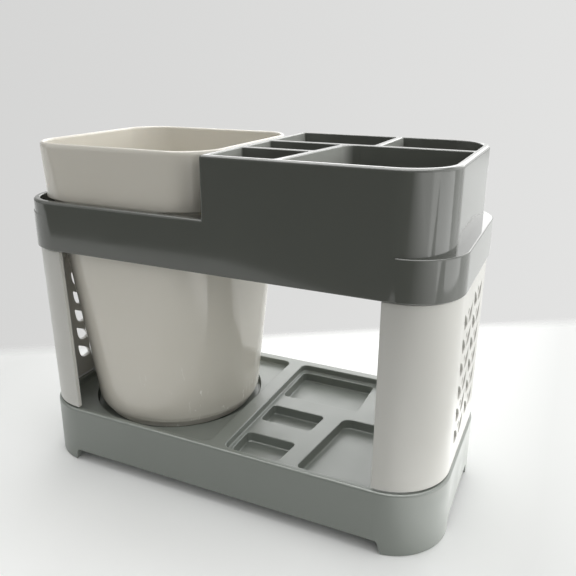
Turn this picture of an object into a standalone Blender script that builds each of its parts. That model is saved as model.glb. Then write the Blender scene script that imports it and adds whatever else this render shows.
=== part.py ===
# Bathroom toothbrush holder: a footed tray, two pierced end panels, a brush rack and a rinse cup.
# Metres, +Z up. The origin is the centre of the rectangle that it stands on.
import bpy
import bmesh
import math

# Overall
LENGTH = 0.170
DEPTH = 0.083
CLEARANCE = 0.0003
OVERSHOOT = 0.001
ARC_STEPS = 8
SMALL_ARC_STEPS = 3

# Base tray
BASE_HEIGHT = 0.0245
BASE_CORNER = 0.0215
BASE_WALL = 0.0022
BASE_EDGE = 0.0010
FLOOR = 0.0020
FOOT_HEIGHT = 0.005
FOOT_ALONG_FRONT = 0.0198
FOOT_ALONG_END = 0.024
FOOT_SLANT = 0.0018
NOTCH_CORNER = 0.0013
TRAY_DEPTH = 0.0028
LAND_FRONT = 0.0024
LAND_BACK = 0.0045
LAND_END = 0.0045
TRAY_CORNER = 0.003
TRAY_RIB = 0.0066
TRAY_RIB_SHIFT = 0.0012
WELL_DEPTH = 0.0032
WELL_MARGIN = 0.0010
POCKET_DEPTH = 0.004
POCKET_INSET_SIDE = 0.0017
POCKET_INSET_FRONT = 0.0034
POCKET_INSET_BACK = 0.0024
POCKET_INSET_END = 0.0055
POCKET_FROM_SLANT = 0.0025
POCKET_FROM_FRONT_DIVIDER = 0.0045
POCKET_BEFORE_DIVIDER = 0.0060
POCKET_BAY_FROM_SLANT = 0.0052
POCKET_ROW_GAP = 0.0036
POCKET_BACK_GAP = 0.0042
POCKET_CORNER = 0.0018
PASTE_POCKET_CORNER = 0.004

# End panels
PANEL_HEIGHT = 0.0677
PANEL_INSET = 0.0008
PANEL_WALL = 0.0020
LEFT_PANEL_REACH = 0.0221
LEFT_PANEL_DRAFT = 0.0022
RIGHT_PANEL_REACH = 0.0229
RIGHT_PANEL_DRAFT = 0.0003
PANEL_EDGE = 0.0006
TONGUE_LENGTH = 0.0037
TONGUE_WIDTH = 0.010
TONGUE_THICKNESS = 0.0012
TONGUE_SPACING = 0.028
TONGUE_STEP = 0.0006
LEAF_LENGTH = 0.0094
LEAF_WIDTH = 0.0046
LEAF_BEND = 0.0012
LEAF_TILT = math.radians(50)
LEAF_SPREAD = 0.0048
LEAF_STEPS = 6
BERRY_RADIUS = 0.0012
BERRY_RISE = 0.0018
SPRIG_PITCH = 0.0086
SPRIG_ROWS = 6
VINE_PITCH = 0.0186
VINE_COUNT = 2
VINE_START = 0.0118
VINE_STAGGER = 0.0022

# Upper rack
RACK_OVERHANG = 0.0005
BAND_HEIGHT = 0.0141
BAND_CORNER = 0.0185
RING_RISE = 0.0049
RING_STEP = 0.0012
BOX_RISE = 0.0262
BOX_START = 0.0
BOX_LEDGE = 0.0037
BOX_CORNER = 0.0175
BOX_NEAR_CORNER = 0.0008
BOX_RECESS = 0.0005
RACK_WALL = 0.0025
RIM = 0.0008
DIVIDER = 0.0026
FRONT_SLOT_DEPTH = 0.0222
MIDDLE_SLOT_DEPTH = 0.0204
SLOT_WIDTH_FRONT = 0.0232
SLOT_WIDTH_BACK = 0.0289
BACK_SLOT_WIDTH = 0.0404
SLOT_CORNER = 0.0010
PASTE_CORNER = 0.006

# Rinse cup
CUP_GAP_SIDE = 0.00175
CUP_GAP_FRONT = 0.0006
CUP_SHIFT = 0.00045
COLLAR_LIFT = 0.0006
RIM_FLARE = 0.0003
RIM_CORNER = 0.0155
COLLAR_CORNER = 0.0165
BODY_CORNER = 0.021
SHOULDER = 0.0004
SHOULDER_RISE = 0.0016
SHELF = 0.0012
CUP_TAPER = 0.0033
CUP_WALL = 0.0018
CUP_FLOOR = 0.0020
CUP_FLOOR_CORNER = 0.004
HEEL_HEIGHT = 0.0017
HEEL_STEP = 0.0008
FOOT_RING_HEIGHT = 0.0053
FOOT_RING_STEP = 0.0032
FOOT_RING_WALL = 0.0020
FOOT_RING_RECESS = 0.0020
CUP_ARC_STEPS = 9

# Places that the pieces share
end_x = LENGTH / 2
base_y = DEPTH / 2
rack_y = base_y + RACK_OVERHANG
tray_z = BASE_HEIGHT - TRAY_DEPTH
well_z = tray_z - WELL_DEPTH
rack_z = BASE_HEIGHT + PANEL_HEIGHT
ledge_z = rack_z + BAND_HEIGHT
ring_z = ledge_z + RING_RISE
box_z = ledge_z + BOX_RISE
tongue_x = end_x - PANEL_INSET - TONGUE_STEP - TONGUE_THICKNESS / 2

hole_left = -end_x + RING_STEP + RACK_WALL
hole_right = BOX_START
hole_y = rack_y - RACK_WALL
cup_x = (hole_left + hole_right) / 2 + CUP_SHIFT
collar_half_x = (hole_right - hole_left) / 2 - CUP_GAP_SIDE
collar_half_y = hole_y - CUP_GAP_FRONT
cup_foot_radius = min(collar_half_x, collar_half_y) - SHOULDER - CUP_TAPER
well_radius = cup_foot_radius + WELL_MARGIN
cup_bottom = well_z + CLEARANCE
cup_height = box_z - cup_bottom
shoulder_z = ring_z + COLLAR_LIFT - cup_bottom


def clear_scene():
    for item in list(bpy.data.objects):
        bpy.data.objects.remove(item, do_unlink=True)


def material(name, color, roughness):
    surface = bpy.data.materials.new(name)
    surface.use_nodes = True
    shader = surface.node_tree.nodes["Principled BSDF"]
    shader.inputs["Base Color"].default_value = (*color, 1.0)
    shader.inputs["Roughness"].default_value = roughness
    shader.inputs["Metallic"].default_value = 0.0
    return surface


# Outlines: every plan shape is a convex polygon with rounded corners
def rectangle(x_low, x_high, y_low, y_high):
    return [(x_low, y_low), (x_high, y_low), (x_high, y_high), (x_low, y_high)]


def rounded(corners, radii, inset=0.0, steps=ARC_STEPS):
    count = len(corners)
    normals = []
    for index in range(count):
        x_a, y_a = corners[index]
        x_b, y_b = corners[(index + 1) % count]
        length = math.hypot(x_b - x_a, y_b - y_a)
        normals.append(((y_a - y_b) / length, (x_b - x_a) / length))
    outline = []
    for index in range(count):
        before = normals[index - 1]
        after = normals[index]
        spread = 1 + before[0] * after[0] + before[1] * after[1]
        miter = ((before[0] + after[0]) / spread, (before[1] + after[1]) / spread)
        radius = max(radii[index] - inset, 0.0)
        center_x = corners[index][0] + miter[0] * (inset + radius)
        center_y = corners[index][1] + miter[1] * (inset + radius)
        start = math.atan2(-before[1], -before[0])
        turn = (math.atan2(-after[1], -after[0]) - start) % math.tau
        for step in range(steps + 1):
            angle = start + turn * step / steps
            outline.append((center_x + radius * math.cos(angle), center_y + radius * math.sin(angle)))
    return outline


# Solids: closed skins through a stack of outlines with the same number of points
def skin(rings):
    mesh = bmesh.new()
    loops = []
    for ring in rings:
        loops.append([mesh.verts.new(point) for point in ring])
    for lower, upper in zip(loops, loops[1:]):
        for index in range(len(lower)):
            after = (index + 1) % len(lower)
            mesh.faces.new((lower[index], lower[after], upper[after], upper[index]))
    mesh.faces.new(list(reversed(loops[0])))
    mesh.faces.new(loops[-1])
    bmesh.ops.remove_doubles(mesh, verts=mesh.verts, dist=1e-6)
    bmesh.ops.recalc_face_normals(mesh, faces=mesh.faces)
    return mesh


def stack(corners, radii, levels, steps=ARC_STEPS):
    rings = []
    for height, inset in levels:
        outline = rounded(corners, radii, inset, steps)
        rings.append([(x, y, height) for x, y in outline])
    return skin(rings)


def top_edge(height, radius):
    levels = []
    for step in range(SMALL_ARC_STEPS + 1):
        angle = math.pi / 2 * step / SMALL_ARC_STEPS
        levels.append((height - radius * (1 - math.sin(angle)), radius * (1 - math.cos(angle))))
    return levels


def bottom_edge(height, radius):
    return [(2 * height - z, inset) for z, inset in reversed(top_edge(height, radius))]


def flared_mouth(height, radius):
    levels = [(z, -inset) for z, inset in top_edge(height, radius)]
    return levels + [(height + OVERSHOOT, -radius)]


def prism_along_y(outline, y_low, y_high):
    return skin([[(x, y_low, z) for x, z in outline], [(x, y_high, z) for x, z in outline]])


def prism_along_x(outline, x_low, x_high):
    return skin([[(x_low, y, z) for y, z in outline], [(x_high, y, z) for y, z in outline]])


def block(x_low, x_high, y_low, y_high, z_low, z_high):
    outline = rectangle(x_low, x_high, y_low, y_high)
    return skin([[(x, y, z_low) for x, y in outline], [(x, y, z_high) for x, y in outline]])


def joined(meshes):
    whole = bmesh.new()
    for part in meshes:
        piece = bpy.data.meshes.new("piece")
        part.to_mesh(piece)
        part.free()
        whole.from_mesh(piece)
        bpy.data.meshes.remove(piece)
    return whole


def make_object(name, mesh, surface=None):
    data = bpy.data.meshes.new(name)
    mesh.to_mesh(data)
    mesh.free()
    data.shade_smooth()
    data.set_sharp_from_angle(angle=math.radians(35))
    item = bpy.data.objects.new(name, data)
    bpy.context.scene.collection.objects.link(item)
    if surface:
        data.materials.append(surface)
    return item


def combine(item, name, mesh, operation):
    tool = make_object(name, mesh)
    tool.hide_render = True
    tool.display_type = "WIRE"
    change = item.modifiers.new(name, "BOOLEAN")
    change.operation = operation
    change.solver = "EXACT"
    change.object = tool


# The dividing lines that the rack's compartments and the tray's pockets share.
# Two brush slots lie in front beside a bay for paste, with two wide slots behind.
inner_x = BOX_START + RACK_WALL
first_y = -hole_y + FRONT_SLOT_DEPTH + DIVIDER / 2
row_y = first_y + DIVIDER + MIDDLE_SLOT_DEPTH
back_x = inner_x + BACK_SLOT_WIDTH + DIVIDER / 2


def slant_x(y):
    front = inner_x + SLOT_WIDTH_FRONT + DIVIDER / 2
    back = inner_x + SLOT_WIDTH_BACK + DIVIDER / 2
    return front + (back - front) * (y + hole_y) / (row_y + hole_y)


def cells(x_low, x_high, y_low, y_high, before, behind, left_of_slant, right_of_slant, row, sides,
          corner, bay_corner, end_corner):
    def slot(low, high):
        right = [(slant_x(y) - left_of_slant, y) for y in (low, high)]
        return [(x_low, low), *right, (x_low, high)]

    bay_back = row_y - row
    bay = [(slant_x(y_low) + right_of_slant, y_low), (x_high, y_low),
           (x_high, bay_back), (slant_x(bay_back) + right_of_slant, bay_back)]
    plain = [corner] * 4
    return [
        (slot(y_low, first_y - before), plain),
        (slot(first_y + behind, row_y - before), plain),
        (bay, [corner, end_corner, corner, bay_corner]),
        (rectangle(x_low, back_x - sides, row_y + row, y_high), plain),
        (rectangle(back_x + sides, x_high, row_y + row, y_high), [corner, corner, end_corner, corner]),
    ]


def tongue_blocks(height_low, height_high, margin):
    blocks = []
    half_thickness = TONGUE_THICKNESS / 2 + margin
    half_width = TONGUE_WIDTH / 2 + margin
    for side in (-1, 1):
        for place in (-TONGUE_SPACING / 2, TONGUE_SPACING / 2):
            blocks.append(block(side * tongue_x - half_thickness, side * tongue_x + half_thickness,
                                place - half_width, place + half_width, height_low, height_high))
    return blocks


def base_tray(surface):
    outline = rectangle(-end_x, end_x, -base_y, base_y)
    corner = [BASE_CORNER] * 4
    levels = bottom_edge(0.0, BASE_EDGE / 2) + top_edge(BASE_HEIGHT, BASE_EDGE)
    tray = make_object("base_tray", stack(outline, corner, levels), surface)

    # Hollow underside with a skirt all round
    cavity = stack(outline, corner, [(-OVERSHOOT, BASE_WALL), (tray_z - FLOOR, BASE_WALL)])
    combine(tray, "cut_underside", cavity, "DIFFERENCE")

    rib_left = BOX_START + TRAY_RIB_SHIFT - TRAY_RIB / 2
    rib_right = rib_left + TRAY_RIB
    tray_end = end_x - LAND_END
    tray_front = -base_y + LAND_FRONT
    tray_back = base_y - LAND_BACK
    end_corner = BASE_CORNER - LAND_END
    pockets = cells(rib_right + POCKET_INSET_SIDE, tray_end - POCKET_INSET_END,
                    tray_front + POCKET_INSET_FRONT, tray_back - POCKET_INSET_BACK,
                    before=POCKET_BEFORE_DIVIDER, behind=POCKET_FROM_FRONT_DIVIDER,
                    left_of_slant=POCKET_FROM_SLANT, right_of_slant=POCKET_BAY_FROM_SLANT,
                    row=POCKET_ROW_GAP, sides=POCKET_BACK_GAP,
                    corner=POCKET_CORNER, bay_corner=PASTE_POCKET_CORNER,
                    end_corner=end_corner - POCKET_INSET_END)
    well = rectangle(cup_x - well_radius, cup_x + well_radius, -well_radius, well_radius)
    well_corner = [well_radius] * 4

    # Floors under the well and the pockets
    deck = tray_z - FLOOR + OVERSHOOT
    bosses = [stack(well, well_corner, [(well_z - FLOOR, -FLOOR), (deck, -FLOOR)])]
    for shape, radii in pockets:
        bosses.append(stack(shape, radii, [(tray_z - POCKET_DEPTH - FLOOR, -FLOOR), (deck, -FLOOR)]))
    combine(tray, "add_floors", joined(bosses), "UNION")

    # Two shallow trays with a rib between them
    above = BASE_HEIGHT + OVERSHOOT
    cup_side = rectangle(-tray_end, rib_left, tray_front, tray_back)
    brush_side = rectangle(rib_right, tray_end, tray_front, tray_back)
    shallow = [
        stack(cup_side, [end_corner, TRAY_CORNER, TRAY_CORNER, end_corner], [(tray_z, 0.0), (above, 0.0)]),
        stack(brush_side, [TRAY_CORNER, end_corner, end_corner, TRAY_CORNER], [(tray_z, 0.0), (above, 0.0)]),
    ]
    combine(tray, "cut_trays", joined(shallow), "DIFFERENCE")

    # The round well of the cup and the five brush pockets
    hollows = [stack(well, well_corner, [(well_z, 0.0), (above, 0.0)])]
    for shape, radii in pockets:
        hollows.append(stack(shape, radii, [(tray_z - POCKET_DEPTH, 0.0), (above, 0.0)], SMALL_ARC_STEPS))
    combine(tray, "cut_pockets", joined(hollows), "DIFFERENCE")

    # Sockets of the end panels
    socket_z = BASE_HEIGHT - TONGUE_LENGTH - CLEARANCE
    combine(tray, "cut_sockets", joined(tongue_blocks(socket_z, above, CLEARANCE)), "DIFFERENCE")

    # Arches that leave a foot at each corner
    for name, half_span, prism, reach in (
        ("cut_long_arch", end_x - FOOT_ALONG_FRONT, prism_along_y, base_y),
        ("cut_end_arch", base_y - FOOT_ALONG_END, prism_along_x, end_x),
    ):
        flare = half_span + FOOT_SLANT
        feet = [(-flare, -OVERSHOOT), (flare, -OVERSHOOT)]
        crown = [(half_span, FOOT_HEIGHT), (-half_span, FOOT_HEIGHT)]
        profile = rounded(feet + crown, [0.0, 0.0, NOTCH_CORNER, NOTCH_CORNER], 0.0, SMALL_ARC_STEPS)
        combine(tray, name, prism(profile, -reach - OVERSHOOT, reach + OVERSHOOT), "DIFFERENCE")
    return tray


def leaf(center_y, center_z, tilt):
    bend = math.copysign(LEAF_BEND, tilt)
    edges = ([], [])
    for step in range(LEAF_STEPS + 1):
        along = step / LEAF_STEPS
        swell = LEAF_WIDTH / 2 * math.sin(math.pi * along ** 0.8)
        spine = bend * (4 * along * (1 - along) - 0.5)
        for edge, side in zip(edges, (1, -1)):
            edge.append((LEAF_LENGTH * (along - 0.5), spine + side * swell))
    shape = edges[0] + list(reversed(edges[1][1:-1]))
    turned = []
    for u, v in shape:
        turned.append((center_y + u * math.sin(tilt) + v * math.cos(tilt),
                       center_z + u * math.cos(tilt) - v * math.sin(tilt)))
    return turned


def berry(center_y, center_z):
    points = 4 * SMALL_ARC_STEPS
    outline = []
    for step in range(points):
        turn = math.tau * step / points
        outline.append((center_y + BERRY_RADIUS * math.cos(turn), center_z + BERRY_RADIUS * math.sin(turn)))
    return outline


def end_panel(name, side, panel_reach, panel_draft, surface):
    outer_x = end_x - PANEL_INSET
    outer_y = base_y - PANEL_INSET
    low = BASE_HEIGHT + CLEARANCE
    high = rack_z - CLEARANCE

    # One wall that turns round both corners of the end
    def bent(near_x, radius, inset):
        shape = rectangle(near_x, outer_x, -outer_y, outer_y)
        curve = rounded(shape, [0.0, radius, radius, 0.0], inset)
        return curve[ARC_STEPS + 1:3 * ARC_STEPS + 3]

    def free_edge(near_x, outer_end, turn):
        center_x = near_x + PANEL_EDGE
        points = []
        for start, shift in ((0.0, PANEL_EDGE), (math.pi / 2, PANEL_WALL - PANEL_EDGE)):
            for step in range(SMALL_ARC_STEPS + 1):
                angle = start + math.pi / 2 * step / SMALL_ARC_STEPS
                points.append((center_x - PANEL_EDGE * math.sin(angle),
                               outer_end + turn * (shift - PANEL_EDGE * math.cos(angle))))
        return points

    # Corners match the tray's at the foot and the band's at the top. Free edges draw back as they rise.
    near_x = end_x - panel_reach
    rings = []
    for height, corner, draft in ((low, BASE_CORNER, 0.0), (high, BAND_CORNER, panel_draft)):
        radius = corner - PANEL_INSET
        wall = bent(near_x + draft, radius, 0.0) + free_edge(near_x + draft, outer_y, -1)
        wall += list(reversed(bent(near_x + draft, radius, PANEL_WALL)))
        wall += list(reversed(free_edge(near_x + draft, -outer_y, 1)))
        rings.append([(side * x, y, height) for x, y in wall])
    panel = make_object(name, skin(rings), surface)

    # Tongues that plug into the tray and the rack
    root = PANEL_WALL
    tongues = []
    bottom = (BASE_HEIGHT - TONGUE_LENGTH, low + root)
    top = (high - root, rack_z + TONGUE_LENGTH)
    for z_low, z_high in (bottom, top):
        for place in (-TONGUE_SPACING / 2, TONGUE_SPACING / 2):
            half = TONGUE_THICKNESS / 2
            tongues.append(block(side * tongue_x - half, side * tongue_x + half,
                                 place - TONGUE_WIDTH / 2, place + TONGUE_WIDTH / 2, z_low, z_high))
    combine(panel, name + "_tongues", joined(tongues), "UNION")

    # Pierced vines of paired leaves, with a berry between the pairs
    shapes = []
    for vine in range(VINE_COUNT):
        vine_y = (vine - (VINE_COUNT - 1) / 2) * VINE_PITCH
        for row in range(SPRIG_ROWS):
            sprig_z = BASE_HEIGHT + VINE_START + vine * VINE_STAGGER + row * SPRIG_PITCH
            shapes.append(berry(vine_y, sprig_z + BERRY_RISE))
            for hand in (-1, 1):
                shapes.append(leaf(vine_y + hand * LEAF_SPREAD, sprig_z, hand * LEAF_TILT))
    inner = side * (outer_x - PANEL_WALL - OVERSHOOT)
    outer = side * (outer_x + OVERSHOOT)
    holes = [prism_along_x(shape, inner, outer) for shape in shapes]
    combine(panel, name + "_vines", joined(holes), "DIFFERENCE")
    return panel


def upper_rack(surface):
    # Band along the whole length
    band_shape = rectangle(-end_x, end_x, -rack_y, rack_y)
    band_levels = bottom_edge(rack_z, RIM) + top_edge(ledge_z, RIM)
    rack = make_object("upper_rack", stack(band_shape, [BAND_CORNER] * 4, band_levels), surface)

    # Low ring round the cup
    middle_z = rack_z + BAND_HEIGHT / 2
    ring_end = BOX_START + BOX_CORNER
    ring_shape = rectangle(-end_x + RING_STEP, ring_end, -rack_y, rack_y)
    ring_corner = BAND_CORNER - RING_STEP
    ring_levels = [(middle_z, 0.0)] + top_edge(ring_z, RIM)
    ring_radii = [ring_corner, BOX_NEAR_CORNER, BOX_NEAR_CORNER, ring_corner]
    combine(rack, "add_ring", stack(ring_shape, ring_radii, ring_levels), "UNION")
    hole_shape = rectangle(hole_left, hole_right + OVERSHOOT, -hole_y, hole_y)
    hole_corner = ring_corner - RACK_WALL
    hole_levels = [(rack_z - OVERSHOOT, 0.0)] + flared_mouth(ring_z, RIM)
    hole_radii = [hole_corner, BOX_NEAR_CORNER, BOX_NEAR_CORNER, hole_corner]
    combine(rack, "cut_cup_hole", stack(hole_shape, hole_radii, hole_levels), "DIFFERENCE")

    # Tall box with five open compartments
    box_end = end_x - BOX_LEDGE
    box_shape = rectangle(BOX_START, box_end, -rack_y, rack_y)
    box_radii = [BOX_NEAR_CORNER, BOX_CORNER, BOX_CORNER, BOX_NEAR_CORNER]
    box_levels = [(rack_z + BOX_RECESS, 0.0)] + top_edge(box_z, RIM)
    combine(rack, "add_box", stack(box_shape, box_radii, box_levels), "UNION")
    half = DIVIDER / 2
    compartments = cells(inner_x, box_end - RACK_WALL, -hole_y, hole_y,
                         before=half, behind=half, left_of_slant=half, right_of_slant=half,
                         row=half, sides=half, corner=SLOT_CORNER, bay_corner=PASTE_CORNER,
                         end_corner=BOX_CORNER - RACK_WALL)
    hollows = []
    for shape, radii in compartments:
        levels = [(rack_z - OVERSHOOT, 0.0)] + flared_mouth(box_z, RIM)
        hollows.append(stack(shape, radii, levels))
    combine(rack, "cut_compartments", joined(hollows), "DIFFERENCE")

    socket_z = rack_z + TONGUE_LENGTH + CLEARANCE
    sockets = joined(tongue_blocks(rack_z - OVERSHOOT, socket_z, CLEARANCE))
    combine(rack, "cut_rack_sockets", sockets, "DIFFERENCE")
    return rack


def rinse_cup(surface):
    foot = cup_foot_radius
    below_shoulder = shoulder_z - SHOULDER_RISE
    middle_z = (FOOT_RING_HEIGHT + shoulder_z) / 2
    floor_z = FOOT_RING_RECESS + CUP_FLOOR

    # Half sizes and corner radius at a height: a circle at the foot and a rounded square above
    def outside(height):
        if height >= shoulder_z:
            share = (height - shoulder_z) / (cup_height - shoulder_z)
            flare = RIM_FLARE * share
            corner = COLLAR_CORNER + (RIM_CORNER - COLLAR_CORNER) * share
            return collar_half_x + flare, collar_half_y + flare, corner
        share = (height - FOOT_RING_HEIGHT) / (below_shoulder - FOOT_RING_HEIGHT)
        share = min(max(share, 0.0), 1.0)
        top = (collar_half_x - SHOULDER, collar_half_y - SHOULDER, BODY_CORNER)
        return [foot + (size - foot) * share for size in top]

    def ring(height, inset, size_height=None):
        half_x, half_y, radius = outside(height if size_height is None else size_height)
        shape = rectangle(-half_x, half_x, -half_y, half_y)
        outline = rounded(shape, [radius] * 4, inset, CUP_ARC_STEPS)
        return [(x, y, height) for x, y in outline]

    # Foot ring, heel and the outside up to the shoulder
    inner_foot = FOOT_RING_STEP + FOOT_RING_WALL
    heel_z = FOOT_RING_HEIGHT - HEEL_HEIGHT
    rings = [
        ring(FOOT_RING_RECESS, inner_foot),
        ring(0.0, inner_foot),
        ring(0.0, FOOT_RING_STEP),
        ring(heel_z, FOOT_RING_STEP),
        ring(heel_z, HEEL_STEP),
        ring(FOOT_RING_HEIGHT - HEEL_STEP / 2, HEEL_STEP),
    ]
    for height in (FOOT_RING_HEIGHT, middle_z, below_shoulder, shoulder_z):
        rings.append(ring(height, 0.0))

    # Rounded rim, then down the inside to the rounded edge of the floor
    lip = CUP_WALL / 2
    lip_z = cup_height - lip
    lip_steps = 2 * SMALL_ARC_STEPS
    for step in range(lip_steps + 1):
        angle = math.pi * step / lip_steps
        rings.append(ring(lip_z + lip * math.sin(angle), lip - lip * math.cos(angle), lip_z))
    for height in (shoulder_z, below_shoulder):
        rings.append(ring(height + SHELF, CUP_WALL, height))
    rings.append(ring(middle_z, CUP_WALL))
    for step in range(SMALL_ARC_STEPS + 1):
        angle = math.pi / 2 * step / SMALL_ARC_STEPS
        height = floor_z + CUP_FLOOR_CORNER * (1 - math.sin(angle))
        rings.append(ring(height, CUP_WALL + CUP_FLOOR_CORNER * (1 - math.cos(angle))))
    cup = make_object("rinse_cup", skin(rings), surface)
    cup.location = (cup_x, 0.0, cup_bottom)
    return cup


def main():
    clear_scene()
    base_tray(material("grey_moulded_plastic", (0.235, 0.247, 0.235), 0.32))
    upper_rack(material("grey_gloss_plastic", (0.195, 0.205, 0.195), 0.22))
    left_white = material("warm_white_plastic_left", (0.70, 0.70, 0.66), 0.30)
    right_white = material("warm_white_plastic_right", (0.70, 0.70, 0.66), 0.30)
    end_panel("left_end_panel", -1, LEFT_PANEL_REACH, LEFT_PANEL_DRAFT, left_white)
    end_panel("right_end_panel", 1, RIGHT_PANEL_REACH, RIGHT_PANEL_DRAFT, right_white)
    rinse_cup(material("beige_cup_plastic", (0.60, 0.58, 0.52), 0.20))


main()
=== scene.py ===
# Bathroom toothbrush holder: a footed tray, two pierced end panels, a brush rack and a rinse cup,
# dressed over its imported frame. Metres, +Z up. The sections follow the object as it is put together.
import math

import bmesh
import bpy
from mathutils import Matrix, Vector


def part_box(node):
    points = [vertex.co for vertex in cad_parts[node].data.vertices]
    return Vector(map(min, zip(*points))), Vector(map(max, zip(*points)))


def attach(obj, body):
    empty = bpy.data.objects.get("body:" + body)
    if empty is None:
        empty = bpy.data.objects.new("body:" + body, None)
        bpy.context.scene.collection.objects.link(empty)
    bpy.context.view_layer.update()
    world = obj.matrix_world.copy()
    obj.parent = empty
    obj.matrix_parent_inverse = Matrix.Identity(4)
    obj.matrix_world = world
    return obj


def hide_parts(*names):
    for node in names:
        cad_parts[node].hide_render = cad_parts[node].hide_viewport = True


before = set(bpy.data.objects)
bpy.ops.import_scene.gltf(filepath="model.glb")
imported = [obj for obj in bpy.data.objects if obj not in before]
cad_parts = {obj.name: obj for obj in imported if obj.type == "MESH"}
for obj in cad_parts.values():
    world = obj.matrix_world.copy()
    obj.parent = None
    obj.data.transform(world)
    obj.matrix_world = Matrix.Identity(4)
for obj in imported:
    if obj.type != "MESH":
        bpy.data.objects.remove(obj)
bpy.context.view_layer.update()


# Base tray: one grey ABS moulding with a skirt, four feet and a hollow underside. Its deck has two shallow
# recesses, a round well for the cup and five pockets under the brush box that catch the drips.
# Injection moulded and left satin from the tool. The end panels push into its four slots.
end_x, base_y, base_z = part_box("base_tray")[1]
base_corner = 0.0215
base_edge = 0.0011
base_wall = 0.0022
floor_wall = 0.0020
deck_z = base_z - 0.0028
well_z = deck_z - 0.0032
pocket_z = deck_z - 0.0040
land_front = 0.0024
land_back = 0.0045
land_end = 0.0045
mouth_edge = 0.00045
clear = 0.001  # how far a cutting shape stands out of what it cuts


def rectangle(x_low, x_high, y_low, y_high):
    return [(x_low, y_low), (x_high, y_low), (x_high, y_high), (x_low, y_high)]


# A polygon moved inwards by the inset, with each corner turned by its own radius
def rounded(corners, radii, inset, steps):
    sides = []
    for (x_a, y_a), (x_b, y_b) in zip(corners, corners[1:] + corners[:1]):
        length = math.hypot(x_b - x_a, y_b - y_a)
        sides.append(((y_a - y_b) / length, (x_b - x_a) / length))
    outline = []
    for index, (x, y) in enumerate(corners):
        before, after = sides[index - 1], sides[index]
        spread = 1 + before[0] * after[0] + before[1] * after[1]
        radius = max(radii[index] - inset, 0.0)
        x += (before[0] + after[0]) / spread * (inset + radius)
        y += (before[1] + after[1]) / spread * (inset + radius)
        start = math.atan2(-before[1], -before[0])
        turn = (math.atan2(-after[1], -after[0]) - start) % math.tau
        for step in range(steps + 1):
            angle = start + turn * step / steps
            outline.append((x + radius * math.cos(angle), y + radius * math.sin(angle)))
    return outline


# A closed solid through rings of points, from the lowest to the highest
def skin(rings):
    shape = bmesh.new()
    loops = [[shape.verts.new(point) for point in ring] for ring in rings]
    for lower, upper in zip(loops, loops[1:]):
        for index, corner in enumerate(lower):
            shape.faces.new((lower[index - 1], corner, upper[index], upper[index - 1]))
    shape.faces.new(reversed(loops[0]))
    shape.faces.new(loops[-1])
    bmesh.ops.remove_doubles(shape, verts=shape.verts, dist=2e-6)
    bmesh.ops.recalc_face_normals(shape, faces=shape.faces)
    return shape


# A solid from one outline at several heights, each with its inset
def stack(corners, radii, levels, steps=20):
    return skin([[(x, y, z) for x, y in rounded(corners, radii, inset, steps)] for z, inset in levels])


# Heights and insets of an edge that rolls from an upright wall onto a flat top, and the same upside down
def rolled(z, radius, steps=5):
    angles = [math.pi / 2 * step / steps for step in range(steps + 1)]
    return [(z - radius * (1 - math.sin(angle)), radius * (1 - math.cos(angle))) for angle in angles]


def rolled_under(z, radius, steps=5):
    return [(2 * z - height, inset) for height, inset in reversed(rolled(z, radius, steps))]


# What is cut out for a recess: a rolled foot, upright walls, and a mouth that rolls outwards
def hollow(corners, radii, floor, floor_radius, mouth, mouth_radius, steps=20):
    lip = [(z, -inset) for z, inset in rolled(mouth, mouth_radius)]
    levels = rolled_under(floor, floor_radius) + lip + [(mouth + clear, -mouth_radius)]
    return stack(corners, radii, levels, steps)


def as_object(name, shape):
    mesh = bpy.data.meshes.new(name)
    shape.to_mesh(mesh)
    shape.free()
    piece = bpy.data.objects.new(name, mesh)
    bpy.context.scene.collection.objects.link(piece)
    return piece


# The finished mesh of an object whose modifiers are live
def settled(piece):
    bpy.context.view_layer.update()
    mesh = bpy.data.meshes.new_from_object(piece.evaluated_get(bpy.context.evaluated_depsgraph_get()))
    piece.modifiers.clear()
    piece.data = mesh
    return piece


def carve(piece, operation, shapes):
    for shape in shapes:
        tool = as_object("tool", shape)
        change = piece.modifiers.new("carve", "BOOLEAN")
        change.operation = operation
        change.solver = "EXACT"
        change.object = tool
        settled(piece)
        bpy.data.objects.remove(tool, do_unlink=True)


# Flat faces stay flat and rolled edges smooth
def smoothed(piece, angle=32):
    piece.data.shade_smooth()
    piece.data.set_sharp_from_angle(angle=math.radians(angle))
    weight = piece.modifiers.new("weighted_normals", "WEIGHTED_NORMAL")
    weight.keep_sharp = True
    weight.weight = 80


# An sRGB hex colour as linear values
def linear(hex_colour):
    channels = [int(hex_colour[place:place + 2], 16) / 255 for place in (1, 3, 5)]
    return [c / 12.92 if c <= 0.04045 else ((c + 0.055) / 1.055) ** 2.4 for c in channels] + [1.0]


# Adds a node with its settings, and links or sets its inputs
def node(tree, kind, links=None, **settings):
    made = tree.nodes.new(kind)
    for name, value in settings.items():
        setattr(made, name, value)
    for key, value in (links or {}).items():
        if isinstance(value, bpy.types.NodeSocket):
            tree.links.new(value, made.inputs[key])
        else:
            made.inputs[key].default_value = value
    return made.outputs


def new_material(name):
    material = bpy.data.materials.new(name)
    material.use_nodes = True
    material.node_tree.nodes.clear()
    return material, material.node_tree


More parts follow.
